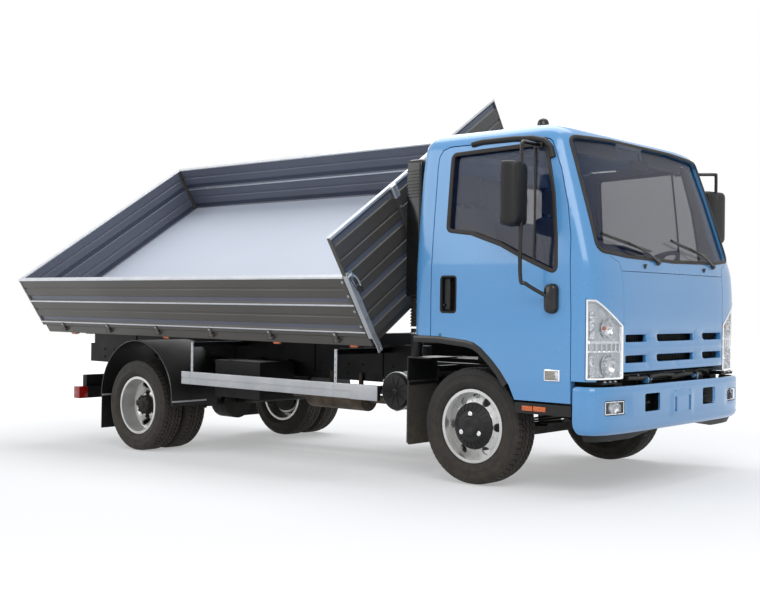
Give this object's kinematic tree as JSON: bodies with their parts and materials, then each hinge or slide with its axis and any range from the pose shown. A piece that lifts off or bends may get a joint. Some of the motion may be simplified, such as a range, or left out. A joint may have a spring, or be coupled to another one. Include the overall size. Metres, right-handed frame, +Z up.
{
  "type": "light three-way drop-side dump truck",
  "caption": "Cab-over light truck with a drop-side body tipped to its right, tilting cab, opening doors, steered front wheels and twin rear wheels.",
  "frame": {"origin": "on the floor, in the middle of the whole stored box, with the body tipped; the truck's centreline is 127 mm to the left of it", "axes": "+X forward, +Y to the truck's left, +Z up"},
  "size_m": [5.9195, 2.7671, 2.7517],
  "materials": {
    "cab_paint": "gloss",
    "body_steel": "satin",
    "floor_steel": "satin",
    "chassis_black": "satin",
    "cast_iron": "matte",
    "black_plastic": "grained",
    "exhaust_steel": "dull",
    "guard_aluminium": "satin",
    "glass": "clear tint",
    "lamp_glass": "clear over chrome",
    "seat_fabric": "woven",
    "rod_chrome": "polished",
    "tyre_rubber": "worn",
    "wheel_steel": "silver enamel"
  },
  "bodies": {
    "chassis": {"chassis_frame": "chassis_black", "subframe": "chassis_black", "front_axle": "chassis_black", "rear_axle": "chassis_black", "leaf_springs": "chassis_black", "drivetrain": "cast_iron", "fuel_tank": "chassis_black", "battery_box": "chassis_black", "air_cleaner": "black_plastic", "exhaust": "exhaust_steel", "mudguards": "black_plastic", "side_guards": "guard_aluminium", "underrun_bar": "chassis_black", "bumper": "cab_paint", "cab_steps": "black_plastic"},
    "cab": {"cab_shell": "cab_paint", "front_panel": "cab_paint", "cab_glass": "glass", "headlamps": "lamp_glass", "seats": "seat_fabric", "dashboard": "black_plastic", "air_intake": "black_plastic"},
    "steering_wheel": {"steering_wheel": "black_plastic"},
    "door_right": {"door_right": "cab_paint", "door_glass_right": "glass", "mirror_right": "black_plastic"},
    "door_left": {"door_left": "cab_paint", "door_glass_left": "glass", "mirror_left": "black_plastic"},
    "bed": {"bed_floor": "floor_steel", "front_board": "body_steel"},
    "dropside_right": {"dropside_right": "body_steel"},
    "dropside_left": {"dropside_left": "body_steel"},
    "tailgate": {"tailgate": "body_steel"},
    "cylinder_barrel": {"cylinder_barrel": "chassis_black"},
    "cylinder_stage_1": {"cylinder_stage_1": "rod_chrome"},
    "cylinder_stage_2": {"cylinder_stage_2": "rod_chrome"},
    "cylinder_rod": {"cylinder_rod": "rod_chrome"},
    "knuckle_right": {"knuckle_right": "cast_iron"},
    "knuckle_left": {"knuckle_left": "cast_iron"},
    "tie_rod": {"tie_rod": "cast_iron"},
    "front_wheel_right": {"tyre_front_right": "tyre_rubber", "wheel_front_right": "wheel_steel"},
    "front_wheel_left": {"tyre_front_left": "tyre_rubber", "wheel_front_left": "wheel_steel"},
    "rear_wheels_right": {"tyres_rear_right": "tyre_rubber", "wheels_rear_right": "wheel_steel"},
    "rear_wheels_left": {"tyres_rear_left": "tyre_rubber", "wheels_rear_left": "wheel_steel"}
  },
  "joints": [
    {"name": "cab_tilt", "type": "hinge", "parent": "chassis", "child": "cab", "pos_m": [2.89043, 0.127, 0.67486], "axis": [0, 1, 0], "range_deg": [0, 45]},
    {"name": "door_right_hinge", "type": "hinge", "parent": "cab", "child": "door_right", "pos_m": [2.7236, -0.856, 0.97949], "axis": [-0.027, 0, -0.9996], "range_deg": [-65, 0]},
    {"name": "door_left_hinge", "type": "hinge", "parent": "cab", "child": "door_left", "pos_m": [2.7236, 1.11, 0.97949], "axis": [0.027, 0, 0.9996], "range_deg": [-65, 0]},
    {"name": "steering_wheel_turn", "type": "hinge", "parent": "cab", "child": "steering_wheel", "pos_m": [2.46506, 0.657, 1.40663], "axis": [-0.5068, 0, 0.8621], "range_deg": [-580, 580]},
    {"name": "steer_right", "type": "hinge", "parent": "chassis", "child": "knuckle_right", "pos_m": [1.957, -0.563, 0.376], "axis": [0.027, 0, 0.9996], "range_deg": [-36, 36]},
    {"name": "steer_left", "type": "hinge", "parent": "chassis", "child": "knuckle_left", "pos_m": [1.957, 0.817, 0.376], "axis": [0.027, 0, 0.9996], "range_deg": [-36, 36]},
    {"name": "tie_rod_turn", "type": "hinge", "parent": "knuckle_right", "child": "tie_rod", "pos_m": [1.79354, -0.563, 0.25038], "axis": [0.027, 0, 0.9996], "range_deg": [-36, 36]},
    {"name": "front_wheel_right_spin", "type": "hinge", "parent": "knuckle_right", "child": "front_wheel_right", "pos_m": [1.957, -0.711, 0.376], "axis": [0, 1, 0], "continuous": true},
    {"name": "front_wheel_left_spin", "type": "hinge", "parent": "knuckle_left", "child": "front_wheel_left", "pos_m": [1.957, 0.965, 0.376], "axis": [0, 1, 0], "continuous": true},
    {"name": "rear_wheels_right_spin", "type": "hinge", "parent": "chassis", "child": "rear_wheels_right", "pos_m": [-1.408, -0.698, 0.376], "axis": [0, 1, 0], "continuous": true},
    {"name": "rear_wheels_left_spin", "type": "hinge", "parent": "chassis", "child": "rear_wheels_left", "pos_m": [-1.408, 0.952, 0.376], "axis": [0, 1, 0], "continuous": true},
    {"name": "bed_tip", "type": "hinge", "parent": "chassis", "child": "bed", "pos_m": [-0.72689, -0.773, 1.00783], "axis": [0.9996, 0, -0.027], "range_deg": [-33, 12]},
    {"name": "dropside_right_hinge", "type": "hinge", "parent": "bed", "child": "dropside_right", "pos_m": [-0.72811, -0.95467, 0.9626], "axis": [-0.9996, 0, 0.027], "range_deg": [-147, 0]},
    {"name": "dropside_left_hinge", "type": "hinge", "parent": "bed", "child": "dropside_left", "pos_m": [-0.69638, 0.85183, 2.13533], "axis": [0.9996, 0, -0.027], "range_deg": [-180, 0]},
    {"name": "tailgate_hinge", "type": "hinge", "parent": "bed", "child": "tailgate", "pos_m": [-2.72151, -0.05142, 1.60333], "axis": [0.0147, 0.8387, 0.5444], "range_deg": [-115, 0]},
    {"name": "cylinder_swing", "type": "hinge", "parent": "chassis", "child": "cylinder_barrel", "pos_m": [-0.73703, 0.127, 0.63297], "axis": [0.9996, 0, -0.027], "range_deg": [-8.91, 3.27]},
    {"name": "cylinder_stage_1_slide", "type": "slide", "parent": "cylinder_barrel", "child": "cylinder_stage_1", "axis": [0.0267, -0.154, 0.9877], "range_m": [-0.16853, 0.06154]},
    {"name": "cylinder_stage_2_slide", "type": "slide", "parent": "cylinder_stage_1", "child": "cylinder_stage_2", "axis": [0.0267, -0.154, 0.9877], "range_m": [-0.16853, 0.06154]},
    {"name": "cylinder_rod_slide", "type": "slide", "parent": "cylinder_stage_2", "child": "cylinder_rod", "axis": [0.0267, -0.154, 0.9877], "range_m": [-0.16853, 0.06154]}
  ],
  "couplings": [
    {"joint": "steer_left", "follows": "steer_right", "ratio": 1},
    {"joint": "tie_rod_turn", "follows": "steer_right", "ratio": -1},
    {"joint": "steering_wheel_turn", "follows": "steer_right", "ratio": 16},
    {"joint": "cylinder_swing", "follows": "bed_tip", "ratio": 0.26845},
    {"joint": "cylinder_stage_1_slide", "follows": "bed_tip", "m_per_rad": 0.29192},
    {"joint": "cylinder_stage_2_slide", "follows": "bed_tip", "m_per_rad": 0.29192},
    {"joint": "cylinder_rod_slide", "follows": "bed_tip", "m_per_rad": 0.29192}
  ]
}
